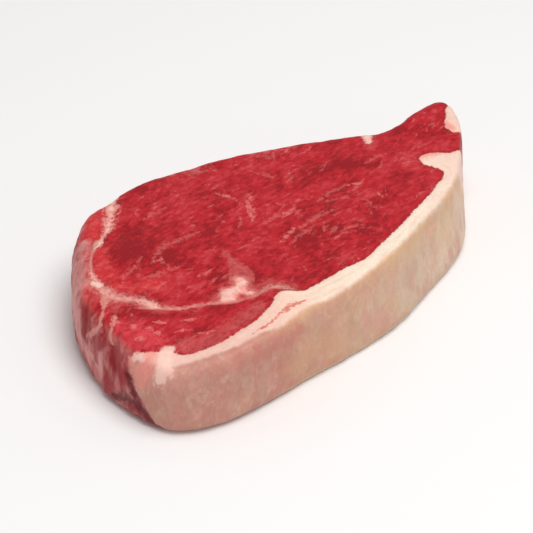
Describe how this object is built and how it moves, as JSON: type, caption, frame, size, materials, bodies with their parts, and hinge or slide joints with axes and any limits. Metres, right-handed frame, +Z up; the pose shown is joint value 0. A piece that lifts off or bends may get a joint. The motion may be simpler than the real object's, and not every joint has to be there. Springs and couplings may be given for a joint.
{
  "type": "raw ribeye steak",
  "caption": "Thick raw boneless rib steak, one solid slab with a broad rounded end, a cap of fat along one long edge and a thin tail.",
  "frame": {"origin": "on the surface that the steak lies on, under the middle of its bounding box", "axes": "+X along the length towards the thin tail, -Y towards the cap of fat, +Z up out of the upper cut face"},
  "size_m": [0.176, 0.106, 0.032],
  "materials": {
    "raw_beef": "moist raw lean with cream fat along one edge"
  },
  "bodies": {
    "root": {"steak": "raw_beef"}
  },
  "joints": []
}
